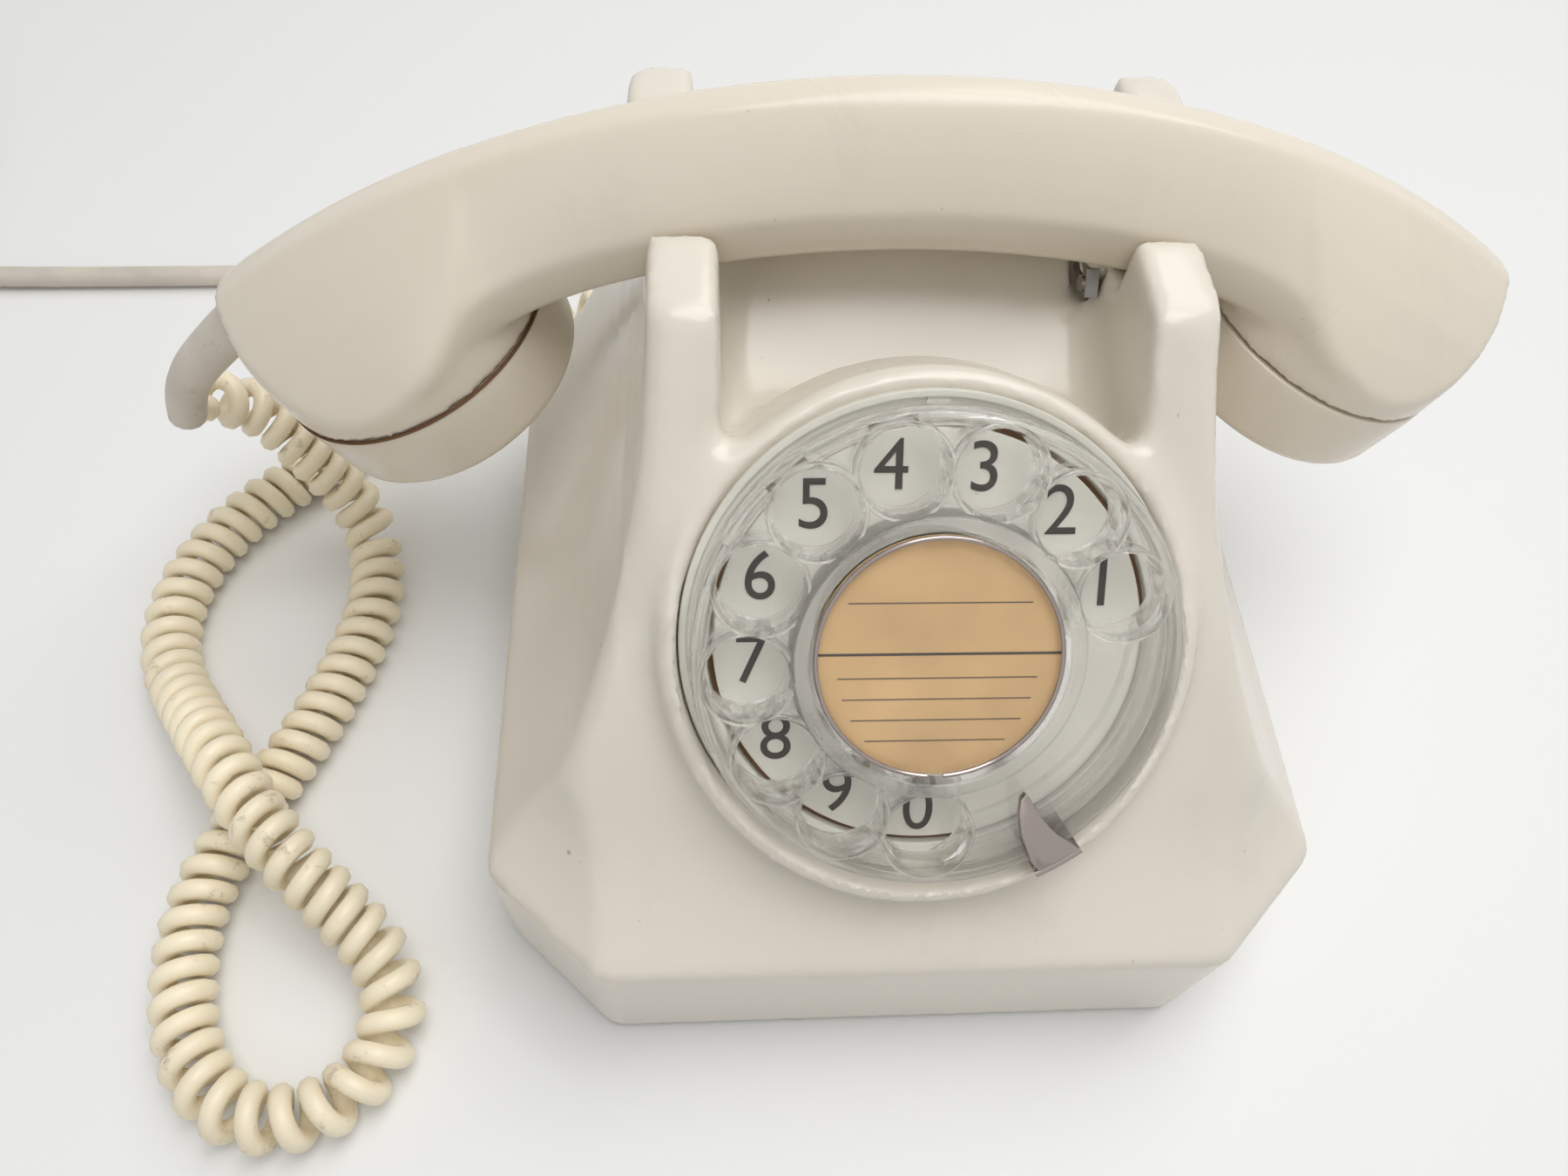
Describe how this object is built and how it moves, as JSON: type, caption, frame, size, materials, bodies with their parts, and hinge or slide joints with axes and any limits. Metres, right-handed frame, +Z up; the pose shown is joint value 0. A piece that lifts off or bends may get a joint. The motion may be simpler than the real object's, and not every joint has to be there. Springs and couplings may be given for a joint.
{
  "type": "rotary desk telephone",
  "caption": "Ivory desk telephone: a flared housing with cradle horns, a clear finger wheel on a sloping face, a bowed handset and a curly cord.",
  "frame": {"origin": "on the table under the middle of the handset's length and of the housing's depth", "axes": "+X to the right and +Y to the back as seen from the dial side, +Z up"},
  "size_m": [0.5009, 0.3164, 0.134],
  "materials": {
    "ivory": "aged ivory, polished",
    "handset_ivory": "aged ivory, slightly browner than the housing",
    "ivory_bar": "ivory",
    "clear": "clear, polished",
    "paper": "yellowed paper card",
    "dial_grey": "satin light grey with dark numerals",
    "chrome": "plated, a little worn",
    "steel": "plain",
    "brass": "plain",
    "winding": "varnished winding",
    "black_plastic": "moulded",
    "can": "plain can",
    "rubber": "matt",
    "grey_rubber": "matt grey-beige",
    "cream_cord": "cream, with smudges of dirt",
    "tie": "woven band"
  },
  "bodies": {
    "telephone": {"housing": "ivory", "base_plate": "steel", "rubber_feet": "rubber", "base_screws": "steel", "ringer_frame": "steel", "ringer_coils": "winding", "gong_left": "brass", "gong_right": "brass", "gong_posts": "steel", "gong_screws": "steel", "clapper_pin": "steel", "induction_coil": "winding", "capacitor": "can", "terminal_strip": "black_plastic", "terminal_screws": "steel", "switch_block": "black_plastic", "contact_springs": "brass", "curly_cord_gland": "grey_rubber", "line_cord_gland": "grey_rubber", "dial_frame": "steel", "number_plate": "dial_grey", "finger_stop": "chrome", "dial_screws": "steel", "dial_back_plate": "steel", "dial_posts": "steel", "governor_drum": "steel", "pulse_contacts": "black_plastic", "hook_pin": "steel", "curly_cord": "cream_cord", "line_cord": "grey_rubber", "line_cord_coil": "grey_rubber", "coil_tie": "tie", "plug_body": "grey_rubber", "plug_pins": "steel"},
    "dial": {"finger_wheel": "clear", "label_card": "paper", "label_cover": "clear", "label_ring": "chrome", "dial_shaft": "steel", "main_gear": "brass"},
    "pulse": {"pulse_wheel": "brass"},
    "governor": {"governor_wheel": "brass", "governor_weights": "brass"},
    "handset": {"handset_shell": "handset_ivory", "mouthpiece_cap": "ivory", "earpiece_cap": "ivory", "transmitter": "black_plastic", "receiver": "black_plastic", "cord_boot": "grey_rubber"},
    "hook": {"hook_lever": "steel", "hook_bar": "ivory_bar", "hook_tab": "steel", "hook_screw": "steel"},
    "bell_clapper": {"clapper": "brass"}
  },
  "joints": [
    {"name": "dial_turn", "type": "hinge", "parent": "telephone", "child": "dial", "pos_m": [0.00493, -0.049, 0.0846], "axis": [0, -0.7361, 0.6769], "range_deg": [-308, 0], "stiffness_Nm_per_rad": 0.02, "springref_deg": 17.19},
    {"name": "pulse_wheel_turn", "type": "hinge", "parent": "telephone", "child": "pulse", "pos_m": [-0.01311, -0.03278, 0.0786], "axis": [0, -0.7361, 0.6769], "range_deg": [-20, 980]},
    {"name": "governor_spin", "type": "hinge", "parent": "telephone", "child": "governor", "pos_m": [0.0207, -0.03225, 0.07918], "axis": [0, -0.7361, 0.6769], "range_deg": [-30, 1560]},
    {"name": "handset_lift", "type": "slide", "parent": "telephone", "child": "handset", "axis": [0, 0, 1], "range_m": [0, 0.12], "deforming": ["curly_cord"]},
    {"name": "hook_lever_turn", "type": "hinge", "parent": "telephone", "child": "hook", "pos_m": [0.04493, 0.035, 0.0965], "axis": [-1, 0, 0], "range_deg": [0, 18.2], "stiffness_Nm_per_rad": 0.000065, "springref_deg": 154.7},
    {"name": "clapper_swing", "type": "hinge", "parent": "telephone", "child": "bell_clapper", "pos_m": [0.00493, 0.014, 0.029], "axis": [0, 0, 1], "range_deg": [-4, 4]}
  ],
  "couplings": [
    {"joint": "pulse_wheel_turn", "follows": "dial_turn", "ratio": -3},
    {"joint": "governor_spin", "follows": "dial_turn", "ratio": -4.8},
    {"joint": "hook_lever_turn", "follows": "handset_lift", "rad_per_m": 2.618}
  ]
}
